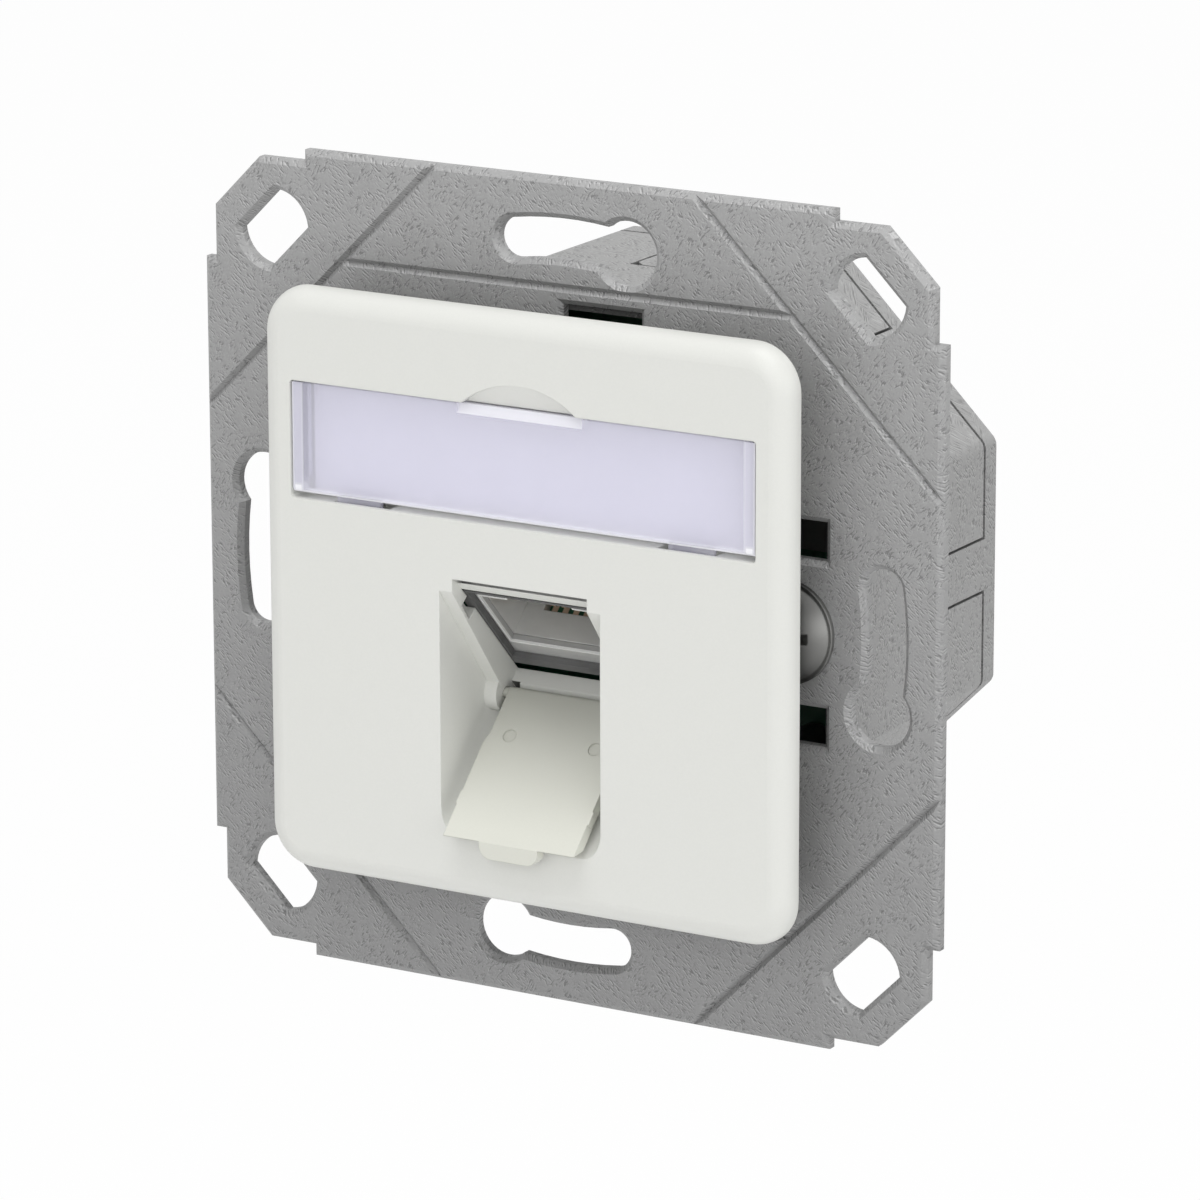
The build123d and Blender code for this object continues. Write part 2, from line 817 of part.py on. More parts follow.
def bent_strip(points, thickness, half_width):
    strip = None
    for (y0, z0), (y1, z1) in zip(points, points[1:]):
        length = sqrt((y1 - y0)**2 + (z1 - z0)**2)
        angle = degrees(acos((y1 - y0) / length)) * (1 if z1 >= z0 else -1)
        leg = Pos(0, (y0 + y1) / 2, (z0 + z1) / 2) * Rot(angle, 0, 0) * Box(2 * half_width, length, thickness)
        strip = leg if strip is None else strip + leg
    for y, z in points[1:-1]:
        strip += Pos(0, y, z) * Rot(0, 90, 0) * Cylinder(thickness / 2, 2 * half_width)
    return strip


def contact_strip():
    root_y, root_lift = contact_root
    start = (root_y, -mouth_half_height - trough_depth + strip_board + root_lift)
    rise = radians(contact_rise)
    middle = (start[0] + contact_length * cos(rise), start[1] + contact_length * sin(rise))
    tip_length, tip_angle = contact_tip
    end = (middle[0] + tip_length * cos(radians(tip_angle)), middle[1] + tip_length * sin(radians(tip_angle)))
    return bent_strip([start, middle, end], contact_thickness, contact_width / 2)


def make_contacts():
    strip = contact_strip()
    return Compound([jack_place() * (Pos(x, 0, 0) * strip) for x in contact_positions()])


def make_gasket():
    depth = jack_depth_behind_seat - 2 * gasket_gap
    low = jack_bottom + 0.2
    high = jack_top - 0.6
    outer = jack_half_width - 0.1
    inner = outer - gasket_side
    ring = block(-outer, outer, -depth - gasket_gap, -gasket_gap, low, high)
    ring -= block(-inner, inner, -2, 1, low + gasket_foot, high - 0.3)
    return jack_place() * ring


# Cradle that holds the jack on the board, its pins, and the earth spring
def cradle_profile():
    base = board_front + seat_gap - cradle_gap
    place = jack_place()
    rear = jack_length + cradle_gap
    under = jack_bottom - cradle_gap
    corner = jack_point(place, rear, under)
    back = jack_point(place, rear, jack_bottom + cradle_height)
    toe = jack_point(place, jack_length - cradle_reach, under)
    return [(base, back[1] + cradle_head), (back[0] + cradle_lip, back[1]), back, corner, toe,
            (toe[0] + cradle_lip, toe[1] - cradle_lip), (base, toe[1] - cradle_foot)]


def jack_point(place, y, z):
    moved = place * Pos(0, y, z)
    return (moved.position.Y, moved.position.Z)


def make_cradle():
    profile = cradle_profile()
    cradle = side_prism(profile, cradle_half_width)
    spacing = (2 * cradle_half_width - cradle_rib) / 2
    pocket_half = (spacing - cradle_rib) / 2
    base = board_front + seat_gap - cradle_gap - cradle_base
    for side in (-1, 1):
        x = side * spacing / 2
        heights = [point[1] for point in profile]
        cradle -= block(x - pocket_half, x + pocket_half, 0, base, min(heights) - 1, max(heights) + 1)
    for x, z in pin_places():
        cradle -= pin_at(x, z, base - 1, board_front + 1, bore_clearance)
    return cradle


def make_pins():
    start = board_front + seat_gap - cradle_gap - cradle_base
    return Compound([pin_at(x, z, start, board_back + pin_tail) for x, z in pin_places()])


def make_earth_spring():
    near = jack_half_width + 0.05
    far = half_inside - 0.05
    t = spring_sheet
    y = spring_depth
    points = [(near, y), (near + t, y), (near + t, y + spring_foot - t), (far - t, y + spring_foot - t),
              (far - t, y), (far, y), (far, y + spring_foot), (near, y + spring_foot)]
    low = spring_height - spring_width / 2
    return extrude(Pos(0, 0, low) * Polygon(*points, align=None), amount=spring_width, dir=(0, 0, 1))


save(make_support_frame(), "support_frame")
save(make_housing_tub(), "housing_tub")
save(make_rear_cover(), "rear_cover")
save(make_housing_screws(), "housing_screws")
save(make_main_board(), "main_board")
save(make_board_screws(), "board_screws")
save(make_blade_block(-1), "blade_block_left")
save(make_blade_block(1), "blade_block_right")
save(make_blades(), "wire_blades")
save(make_pair_shield(), "pair_shield")
save(make_cable_saddle(), "cable_saddle")
save(make_saddle_screws(), "saddle_screws")
save(make_central_plate(), "central_plate")
save(make_label_cover(), "label_cover")
save(make_label_card(), "label_card")
save(make_dust_flap(), "dust_flap")
save(make_jack_shell(), "jack_shell")
save(make_jack_insert(), "jack_insert")
save(make_strip_board(), "contact_board")
save(make_contacts(), "jack_contacts")
save(make_gasket(), "jack_gasket")
save(make_cradle(), "jack_cradle")
save(make_pins(), "jack_pins")
save(make_earth_spring(), "earth_spring")
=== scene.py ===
"""Data outlet: finishes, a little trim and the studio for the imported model, laid out as an add-on.

Lengths are in metres. Noise scales count the cells that cross a metre of Object coordinates.
"""
import math

import bmesh
import bpy
from mathutils import Matrix, Vector


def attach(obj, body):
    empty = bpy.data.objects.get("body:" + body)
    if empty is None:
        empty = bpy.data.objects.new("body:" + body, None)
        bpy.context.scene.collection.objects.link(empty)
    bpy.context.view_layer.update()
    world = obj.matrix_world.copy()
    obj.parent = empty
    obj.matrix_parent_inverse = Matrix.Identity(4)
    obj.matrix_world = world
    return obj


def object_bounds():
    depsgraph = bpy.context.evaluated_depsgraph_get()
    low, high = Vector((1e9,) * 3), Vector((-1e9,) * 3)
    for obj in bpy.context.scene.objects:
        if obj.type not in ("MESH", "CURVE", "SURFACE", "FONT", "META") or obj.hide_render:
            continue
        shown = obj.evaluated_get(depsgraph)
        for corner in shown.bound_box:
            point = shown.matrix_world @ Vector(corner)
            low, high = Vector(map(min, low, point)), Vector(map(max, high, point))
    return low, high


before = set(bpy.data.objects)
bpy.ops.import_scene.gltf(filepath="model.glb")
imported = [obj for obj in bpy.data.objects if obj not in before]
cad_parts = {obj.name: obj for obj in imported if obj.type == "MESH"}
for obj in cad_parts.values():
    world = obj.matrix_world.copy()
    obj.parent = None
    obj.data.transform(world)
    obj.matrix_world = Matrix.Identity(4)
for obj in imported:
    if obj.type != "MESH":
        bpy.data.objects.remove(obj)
CAD_LOW, CAD_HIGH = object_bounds()

bl_info = {
    "name": "Data Outlet Studio",
    "version": (1, 0, 0),
    "blender": (4, 5, 0),
    "location": "View3D > Sidebar > Outlet",
    "description": "Finishes and small trim for a flush data outlet",
    "category": "Object",
}


# Settings

SCALE_LIMITS = (100.0, 20000.0)
POWER_LIMITS = (0.0, 50.0)
SKY_LIMITS = (0.0, 2.0)


def colour(label, note, value):
    return bpy.props.FloatVectorProperty(
        name=label, description=note, default=value, subtype="COLOR", size=3, min=0.0, max=1.0)


def number(label, note, value, limits):
    low, high = limits
    return bpy.props.FloatProperty(
        name=label, description=note, default=value, min=low, max=high)


def length(label, note, value):
    return bpy.props.FloatProperty(
        name=label, description=note, default=value, min=0.0, unit="LENGTH", precision=5)


class OutletSteel(bpy.types.PropertyGroup):
    sheet: colour("Sheet", "Colour of the support frame's steel", (0.36, 0.36, 0.36))
    housing: colour("Housing", "Colour of the housing's metal", (0.318, 0.318, 0.316))
    screws: colour("Screws", "Colour of the screws", (0.3, 0.3, 0.29))
    jack: colour("Jack", "Colour of the jack's tinned shell", (0.62, 0.62, 0.61))
    stroke_scale: number(
        "Stroke scale", "How many zinc strokes cross a metre", 5200.0, SCALE_LIMITS)
    stroke_depth: length("Stroke depth", "How deep the zinc strokes look", 0.00002)


class OutletPlastic(bpy.types.PropertyGroup):
    plate: colour("Plate", "Colour of the central plate", (0.76, 0.765, 0.73))
    flap: colour("Flap", "Colour of the dust flap", (0.715, 0.72, 0.65))
    cover: colour("Label cover", "Tint of the clear label cover", (0.85, 0.84, 0.97))
    card: colour("Label card", "Colour of the label card", (0.92, 0.91, 0.99))
    blocks: colour("Blade blocks", "Colour of the wiring blocks", (0.72, 0.72, 0.68))
    grain_scale: number(
        "Grain scale", "How many grains of the moulded skin cross a metre", 5200.0, SCALE_LIMITS)


class OutletWiring(bpy.types.PropertyGroup):
    board: colour("Board", "Colour of the circuit boards", (0.012, 0.07, 0.035))
    contacts: colour("Contacts", "Colour of the contact springs", (0.66, 0.50, 0.37))
    blades: colour("Blades", "Colour of the wire blades and pins", (0.62, 0.50, 0.28))
    gasket: colour("Gasket", "Colour of the gasket", (0.12, 0.12, 0.12))
    cradle: colour("Cradle", "Colour of the jack's cradle", (0.02, 0.02, 0.021))


class OutletStudio(bpy.types.PropertyGroup):
    key_power: number(
        "Key light", "Power of the key light in watts", 0.9, POWER_LIMITS)
    side_power: number(
        "Side light", "Power of the light from the right in watts", 0.9, POWER_LIMITS)
    top_power: number(
        "Top light", "Power of the light from above in watts", 2.4, POWER_LIMITS)
    rim_power: number(
        "Rim light", "Power of the light from behind in watts", 0.9, POWER_LIMITS)
    sky: number("Sky", "Strength of the even light from all round", 0.605, SKY_LIMITS)
    floor_drop: length("Floor drop", "How far the floor lies below the outlet", 0.12)


# Node helpers

NODES_A_ROW = 8
NODE_SPACING = (180, -220)
# Sockets of the Mix node when it mixes colours
MIX_FACTOR, MIX_FIRST, MIX_SECOND, MIX_RESULT = 0, 6, 7, 2
BLACK = (0.0, 0.0, 0.0)
WHITE = (1.0, 1.0, 1.0)


class Nodes:
    """Adds nodes to a tree and links them."""

    def __init__(self, tree):
        self.tree = tree
        self.count = 0

    def feed(self, socket, value):
        """Link the input to another node's output, or set its own value."""
        if isinstance(value, bpy.types.NodeSocket):
            self.tree.links.new(value, socket)
        elif socket.type == "RGBA":
            socket.default_value = (*value[:3], 1.0)
        else:
            socket.default_value = value

    def add(self, kind, inputs=None, **settings):
        node = self.tree.nodes.new(kind)
        row, column = divmod(self.count, NODES_A_ROW)
        node.location = (NODE_SPACING[0] * column, NODE_SPACING[1] * row)
        self.count += 1
        for key, value in settings.items():
            setattr(node, key, value)
        for key, value in (inputs or {}).items():
            self.feed(node.inputs[key], value)
        return node

    def math(self, operation, a, b=0.0, clamp=False):
        node = self.add("ShaderNodeMath", {0: a, 1: b}, operation=operation, use_clamp=clamp)
        return node.outputs[0]

    def times(self, a, b):
        return self.math("MULTIPLY", a, b)

    def size(self, a):
        return self.math("ABSOLUTE", a)

    def mix(self, factor, a, b):
        inputs = {MIX_FACTOR: factor, MIX_FIRST: a, MIX_SECOND: b}
        return self.add("ShaderNodeMix", inputs, data_type="RGBA").outputs[MIX_RESULT]

    def ramp(self, value, low, high, out_low=0.0, out_high=1.0):
        inputs = {0: value, 1: low, 2: high, 3: out_low, 4: out_high}
        return self.add("ShaderNodeMapRange", inputs, clamp=True).outputs[0]

    def dot(self, a, b):
        node = self.add("ShaderNodeVectorMath", {0: a, 1: b}, operation="DOT_PRODUCT")
        return node.outputs["Value"]

    def shift(self, vector, offset):
        node = self.add("ShaderNodeVectorMath", {0: vector, 1: offset}, operation="ADD")
        return node.outputs["Vector"]

    def noise(self, vector, scale, detail=3.0, rough=0.55):
        inputs = {"Vector": vector, "Scale": scale, "Detail": detail, "Roughness": rough}
        return self.add("ShaderNodeTexNoise", inputs).outputs[0]


# Effects that several finishes share

GRAIN_BROADER = 0.08
GRAIN_FINE_SHARE = 0.6
GRAIN_MASK = (0.35, 0.65)
STROKE_BEND_SCALE = 500.0
STROKE_BEND = 0.0006
STROKE_EDGE = 0.08
STROKE_GATE_SCALE = 900.0
STROKE_GATE = (0.36, 0.52)
FLECK_RAGGED_FINER = 3.0
FLECK_RAGGED = 0.6
FLECK_LEAST = 0.27
FLECK_CHOSEN = (0.6, 0.95)
SLOW_MASK = (0.3, 0.7)


def new_group(name, inputs, outputs):
    """An empty group with float inputs, or vector inputs where the value is a vector or None."""
    tree = bpy.data.node_groups.new(name, "ShaderNodeTree")
    for label, value in inputs.items():
        kind = "NodeSocketFloat" if isinstance(value, float) else "NodeSocketVector"
        socket = tree.interface.new_socket(name=label, in_out="INPUT", socket_type=kind)
        if value is not None:
            socket.default_value = value
    for label in outputs:
        tree.interface.new_socket(name=label, in_out="OUTPUT", socket_type="NodeSocketFloat")
    nodes = Nodes(tree)
    return nodes, nodes.add("NodeGroupInput").outputs, nodes.add("NodeGroupOutput").inputs


def moulded_grain_group():
    n, taken, given = new_group(
        "Moulded grain", {"Vector": None, "Scale": 5000.0}, ("Height", "Mask"))
    fine = n.noise(taken["Vector"], taken["Scale"], detail=2.0)
    broad = n.noise(taken["Vector"], n.times(taken["Scale"], GRAIN_BROADER))
    height = n.math("ADD", n.times(fine, GRAIN_FINE_SHARE), n.times(broad, 1.0 - GRAIN_FINE_SHARE))
    n.feed(given["Height"], height)
    n.feed(given["Mask"], n.ramp(broad, *GRAIN_MASK))


def strokes_group():
    n, taken, given = new_group(
        "Strokes",
        {"Vector": None, "Across": (1.0, 0.0, -1.0), "Along": (1.0, 0.0, 1.0), "Scale": 3800.0,
         "Stretch": 0.22, "Share": 0.6},
        ("Mask",))
    bend = n.noise(taken["Vector"], STROKE_BEND_SCALE, detail=2.0)
    across = n.math("ADD", n.dot(taken["Vector"], taken["Across"]), n.times(bend, STROKE_BEND))
    along = n.dot(taken["Vector"], taken["Along"])
    place = n.add("ShaderNodeCombineXYZ", {
        "X": n.times(across, taken["Scale"]),
        "Y": n.times(along, n.times(taken["Scale"], taken["Stretch"]))})
    lines = n.noise(place.outputs[0], 1.0, detail=2.0, rough=0.6)
    sharp = n.ramp(lines, taken["Share"], n.math("ADD", taken["Share"], STROKE_EDGE))
    gate = n.ramp(n.noise(taken["Vector"], STROKE_GATE_SCALE, detail=2.0), *STROKE_GATE)
    n.feed(given["Mask"], n.times(sharp, gate))


def flecks_group():
    n, taken, given = new_group(
        "Flecks", {"Vector": None, "Scale": 900.0, "Size": 0.16}, ("Mask",))
    cells = n.add("ShaderNodeTexVoronoi", {"Vector": taken["Vector"], "Scale": taken["Scale"]})
    ragged = n.noise(taken["Vector"], n.times(taken["Scale"], FLECK_RAGGED_FINER), detail=2.0)
    reach = n.math("ADD", cells.outputs["Distance"], n.times(ragged, FLECK_RAGGED))
    spot = n.math("LESS_THAN", reach, n.math("ADD", taken["Size"], FLECK_LEAST))
    draw = n.add("ShaderNodeSeparateColor", {0: cells.outputs["Color"]}).outputs[0]
    n.feed(given["Mask"], n.times(spot, n.ramp(draw, *FLECK_CHOSEN)))


def slow_change_group():
    n, taken, given = new_group("Slow change", {"Vector": None, "Scale": 40.0}, ("Mask",))
    change = n.noise(taken["Vector"], taken["Scale"], detail=4.0)
    n.feed(given["Mask"], n.ramp(change, *SLOW_MASK))


def build_groups():
    """Moulded grain, zinc strokes, flecks and a slow change of tone."""
    moulded_grain_group()
    strokes_group()
    flecks_group()
    slow_change_group()


# Finishes

BEVEL_SAMPLES = 6
SOFT_BORDER = 0.00004
SLOW_SCALE = 260.0


class Finish(Nodes):
    """One material with a Principled shader, Object coordinates and the shared effects."""

    def __init__(self, name):
        material = bpy.data.materials.new(name)
        material.use_nodes = True
        super().__init__(material.node_tree)
        self.material = material
        self.shader = material.node_tree.nodes["Principled BSDF"]
        self.place = self.add("ShaderNodeTexCoord").outputs["Object"]

    def group(self, name, **inputs):
        """A shared effect, on this material's coordinates unless inputs name a Vector."""
        inputs = {"Vector": self.place, **inputs}
        return self.add("ShaderNodeGroup", inputs, node_tree=bpy.data.node_groups[name]).outputs

    def slow(self):
        return self.group("Slow change", Scale=SLOW_SCALE)["Mask"]

    def set(self, **inputs):
        for key, value in inputs.items():
            self.feed(self.shader.inputs[key.replace("_", " ")], value)
        return self

    def bump(self, height, distance, round_edge=0.0):
        """Relief from a height, over edges that look rounded where a radius is given."""
        node = self.add("ShaderNodeBump", {"Height": height, "Distance": distance})
        if round_edge:
            soft = self.add("ShaderNodeBevel", {"Radius": round_edge}, samples=BEVEL_SAMPLES)
            self.feed(node.inputs["Normal"], soft.outputs["Normal"])
        return self.set(Normal=node.outputs["Normal"])

    def axes(self):
        node = self.add("ShaderNodeSeparateXYZ", {0: self.place})
        return node.outputs[0], node.outputs[1], node.outputs[2]

    def from_point(self, point):
        return self.shift(self.place, tuple(-value for value in point))

    def most(self, *values):
        """The largest of the masks at each point."""
        whole = values[0]
        for value in values[1:]:
            whole = self.math("MAXIMUM", whole, value)
        return whole

    def within(self, value, middle, half, soft=SOFT_BORDER):
        """1 where value is nearer to middle than half, with a soft border."""
        away = self.size(self.math("SUBTRACT", value, middle))
        return self.ramp(away, half - soft, half + soft, 1.0, 0.0)


def shade(value, factor):
    return tuple(max(0.0, min(1.0, channel * factor)) for channel in value)


# Zinc: each tone is a share of the base colour, each strength how far it covers the tone below
STROKE_WAYS = {
    "sheet": (((1.0, 0.3, -0.9), (0.9, 0.3, 1.0)), ((1.0, -0.3, 1.1), (-1.1, 0.3, 1.0))),
    "housing": (((0.6, 1.0, -0.8), (1.33, 0.8, 1.0)), ((-0.5, 1.0, 0.9), (1.8, -0.9, 1.0))),
}
# Offset of the strokes' lighter copy: a painted highlight beside each stroke, which with the darker
# strokes paints the light and shade of a raised relief
STROKE_HIGHLIGHT_OFFSET = Vector((0.00007, 0.00005, 0.00008))
STROKE_SHARE = 0.515
STROKE_PATCH_SCALE = 420.0
STROKE_PATCH = (0.47, 0.53)
STROKE_STRENGTH = 0.8
STROKE_HIGHLIGHT_TONE = 1.55
STROKE_DARK_TONE = 0.5
ZINC_SLOW_TONES = (0.94, 1.06)
ZINC_GRAIN_SCALE = 7000.0
ZINC_GRAIN_MASK = (0.3, 0.7)
ZINC_GRAIN_STRENGTH = 0.5
ZINC_GRAIN_TONE = 1.2
ZINC_FLECK_SCALE = 1000.0
ZINC_FLECK_SIZE = 0.12
ZINC_FLECK_STRENGTH = 0.5
ZINC_FLECK_TONE = 0.4
ZINC_METALLIC = 0.35
ZINC_ROUGHNESS = (0.5, 0.6)
ZINC_GRAIN_HEIGHT = 0.35
ZINC_STROKE_DEPTH = 0.6
# How far below and above the middle the sheet's painted shade runs, and how dark it is at the foot
SHEET_FADE_REACH = 0.035
SHEET_FADE = 0.2
# The tub's painted shade inside: half its width, its reach over the corners, its depth and its
# strength
TUB_INSIDE_HALF = 0.0245
TUB_INSIDE_CORNER = 0.0346
TUB_INSIDE_DEPTH = 0.026
TUB_INSIDE_SHADE = 0.7


def hatch(f, ways, scale, offset=(0.0, 0.0, 0.0)):
    """Strokes one way in some patches and the other way in the rest."""
    patch = f.ramp(f.noise(f.place, STROKE_PATCH_SCALE, detail=1.0), *STROKE_PATCH)
    place = f.shift(f.place, offset)
    first, second = (
        f.group("Strokes", Vector=place, Across=across, Along=along, Scale=scale,
                Share=STROKE_SHARE)["Mask"]
        for across, along in ways)
    rest = f.math("SUBTRACT", 1.0, patch)
    return f.math("MAXIMUM", f.times(first, patch), f.times(second, rest))


def fade_down(f, tone):
    """Darkens the tone toward the lower edge of the sheet, a painted shade."""
    z = f.axes()[2]
    mask = f.ramp(z, -SHEET_FADE_REACH, SHEET_FADE_REACH, SHEET_FADE, 0.0)
    return f.mix(mask, tone, BLACK)


def dark_inside(f, tone):
    """Darkens the tone inside the octagonal tub, a painted shade."""
    x, y, z = f.axes()
    wide, tall = f.size(x), f.size(z)
    core = f.math("LESS_THAN", f.math("MAXIMUM", wide, tall), TUB_INSIDE_HALF)
    core = f.times(core, f.math("LESS_THAN", f.math("ADD", wide, tall), TUB_INSIDE_CORNER))
    core = f.times(core, f.math("LESS_THAN", y, TUB_INSIDE_DEPTH))
    return f.mix(f.times(core, TUB_INSIDE_SHADE), tone, BLACK)


def zinc(name, base, ways, steel, last_shade=None):
    """Scratched zinc; last_shade, if given, darkens some of it by place."""
    f = Finish(name)
    dark = hatch(f, ways, steel.stroke_scale)
    light = hatch(f, ways, steel.stroke_scale, STROKE_HIGHLIGHT_OFFSET)
    fleck = f.group("Flecks", Scale=ZINC_FLECK_SCALE, Size=ZINC_FLECK_SIZE)["Mask"]
    grain = f.noise(f.place, ZINC_GRAIN_SCALE, detail=2.0)
    slow = f.slow()
    low, high = ZINC_SLOW_TONES
    tone = f.mix(slow, shade(base, low), shade(base, high))
    grain_mask = f.ramp(grain, *ZINC_GRAIN_MASK, 0.0, ZINC_GRAIN_STRENGTH)
    tone = f.mix(grain_mask, tone, shade(base, ZINC_GRAIN_TONE))
    # Painted highlight: the lighter, shifted copy of the strokes; the dark strokes below are the
    # scratches' own colour and also the painted shade of their relief
    tone = f.mix(f.times(light, STROKE_STRENGTH), tone, shade(base, STROKE_HIGHLIGHT_TONE))
    tone = f.mix(f.times(dark, STROKE_STRENGTH), tone, shade(base, STROKE_DARK_TONE))
    tone = f.mix(f.times(fleck, ZINC_FLECK_STRENGTH), tone, shade(base, ZINC_FLECK_TONE))
    if last_shade:
        tone = last_shade(f, tone)
    f.set(Base_Color=tone, Metallic=ZINC_METALLIC,
          Roughness=f.ramp(slow, 0.0, 1.0, *ZINC_ROUGHNESS))
    height = f.math("SUBTRACT", f.times(grain, ZINC_GRAIN_HEIGHT), f.times(dark, ZINC_STROKE_DEPTH))
    return f.bump(height, steel.stroke_depth).material


METAL_SLOW_TONES = (0.95, 1.05)
METAL_SMOOTHER, METAL_ROUGHER = 0.04, 0.05
METAL_GRAIN_SCALE = 3000.0
METAL_GRAIN_DEPTH = 0.000006


def plain_metal(name, base, rough, grain_scale=METAL_GRAIN_SCALE, metallic=1.0, round_edge=0.0):
    f = Finish(name)
    slow = f.slow()
    low, high = METAL_SLOW_TONES
    f.set(Base_Color=f.mix(slow, shade(base, low), shade(base, high)), Metallic=metallic,
          Roughness=f.ramp(slow, 0.0, 1.0, rough - METAL_SMOOTHER, rough + METAL_ROUGHER))
    grain = f.noise(f.place, grain_scale)
    return f.bump(grain, METAL_GRAIN_DEPTH, round_edge).material


# Painted reflection on the screw heads: where their colour lightens away from the middle, and its
# two shares
SCREW_FADE_START = 0.0231
SCREW_FADE_END = 0.0251
SCREW_TONES = (0.25, 0.85)
SCREW_METALLIC = 0.8
SCREW_ROUGHNESS = (0.36, 0.44)
SCREW_GRAIN_DEPTH = 0.000005
SCREW_ROUND = 0.0002


def screw_heads(steel):
    """Painted reflection: the heads' colour is darker on their inner side, standing for the dark gap
    under the plate.
    """
    f = Finish("Screw heads")
    outer = f.ramp(f.size(f.axes()[0]), SCREW_FADE_START, SCREW_FADE_END)
    inner_tone, outer_tone = SCREW_TONES
    f.set(Base_Color=f.mix(outer, shade(steel.screws, inner_tone), shade(steel.screws, outer_tone)),
          Metallic=SCREW_METALLIC, Roughness=f.ramp(f.slow(), 0.0, 1.0, *SCREW_ROUGHNESS))
    grain = f.noise(f.place, METAL_GRAIN_SCALE)
    return f.bump(grain, SCREW_GRAIN_DEPTH, SCREW_ROUND).material


PLASTIC_IOR = 1.49
PLASTIC_SPREAD = 0.006
PLASTIC_GRAIN_MASK = (0.35, 0.65)
PLASTIC_GRAIN_STRENGTH = 0.5
PLASTIC_GRAIN_TONE = 0.96
PLASTIC_GRAIN_DEPTH = 0.000008
PLASTIC_SMOOTHER, PLASTIC_ROUGHER = 0.03, 0.04
PLASTIC_ROUND = 0.00012
# The flap's pin and the ways along the flap and away from it, in the pose of the photograph
FLAP_PIN = (0.0, 0.00024, -0.00931)
FLAP_WAY = (0.0, -0.7071, -0.7071)
FLAP_RISE = (0.0, -0.7071, 0.7071)
# Painted shade on the flap toward its hinge: how far it reaches and the share of the colour at the
# hinge
FLAP_REACH = 0.013
FLAP_HINGE_TONE = 0.72
# Middle and half size of the notches beside the hinge: from the middle, along and away from it
HINGE_NOTCH = ((0.00592, 0.00043), (-0.00055, 0.00058), (0.0, 0.00113))
# Painted shadow in the notches: its strength and its colour
NOTCH_STRENGTH = 0.97
NOTCH_COLOUR = (0.01, 0.01, 0.01)


def darker_hinge(f, tone, base):
    """Darkens the flap toward its hinge, a painted shade."""
    along = f.dot(f.from_point(FLAP_PIN), FLAP_WAY)
    return f.mix(f.ramp(along, 0.0, FLAP_REACH, 1.0, 0.0), tone, shade(base, FLAP_HINGE_TONE))


def hinge_notches(f, tone, base):
    """Paints the two notches beside the flap's hinge nearly black, a painted shadow in them."""
    from_pin = f.from_point(FLAP_PIN)
    places = (f.size(f.axes()[0]), f.dot(from_pin, FLAP_WAY), f.dot(from_pin, FLAP_RISE))
    masks = [f.within(place, *notch) for place, notch in zip(places, HINGE_NOTCH)]
    notch_shadow = f.times(f.times(masks[0], masks[1]), masks[2])
    return f.mix(f.times(notch_shadow, NOTCH_STRENGTH), tone, NOTCH_COLOUR)


def moulded(name, base, rough, plastic, spread=PLASTIC_SPREAD, round_edge=0.0, last_shade=None):
    """Moulded plastic; last_shade, if given, darkens some of it by place."""
    f = Finish(name)
    grain = f.group("Moulded grain", Scale=plastic.grain_scale)
    tone = f.mix(grain["Mask"], shade(base, 1.0 - spread), shade(base, 1.0 + spread))
    grain_mask = f.ramp(grain["Height"], *PLASTIC_GRAIN_MASK, 0.0, PLASTIC_GRAIN_STRENGTH)
    tone = f.mix(grain_mask, tone, shade(base, PLASTIC_GRAIN_TONE))
    if last_shade:
        tone = last_shade(f, tone, base)
    f.set(Base_Color=tone, IOR=PLASTIC_IOR, Roughness=f.ramp(
        grain["Mask"], 0.0, 1.0, rough - PLASTIC_SMOOTHER, rough + PLASTIC_ROUGHER))
    return f.bump(grain["Height"], PLASTIC_GRAIN_DEPTH, round_edge).material


# The label cover's sizes, by which its painted highlights and its denser legs are placed
COVER_HALF = 0.02185
COVER_LOW = 0.007755
COVER_HIGH = 0.017105
COVER_LEG = 0.00095
COVER_LIP_HALF = 0.0059
COVER_LIP_DROP = 0.0008
COVER_EDGE = 0.00012
# Middle, measured in from the cover's edge, half size and soft border of its two feet
COVER_FOOT_ACROSS = (0.0005, 0.0004, 0.00015)
COVER_FOOT_UP = (0.0004, 0.00035, 0.00015)
COVER_LINE = (0.00008, 0.00003)
# How strongly each painted highlight covers the tint
COVER_LIP_STRENGTH = 0.75
COVER_RIM_STRENGTH = 0.9
COVER_SIDE_STRENGTH = 0.6
COVER_LINE_STRENGTH = 0.3
COVER_GRAIN_BROADER = 0.3
COVER_GRAIN_DEPTH = 0.000003
COVER_TONES = (0.99, 1.01)
COVER_LEG_TONE = 0.84
COVER_LEG_STRENGTH = 0.7
COVER_HIGHLIGHT_COLOUR = (0.95, 0.95, 0.99)
COVER_ROUGHNESS = (0.1, 0.16)
COVER_ALPHA = (0.32, 0.95)


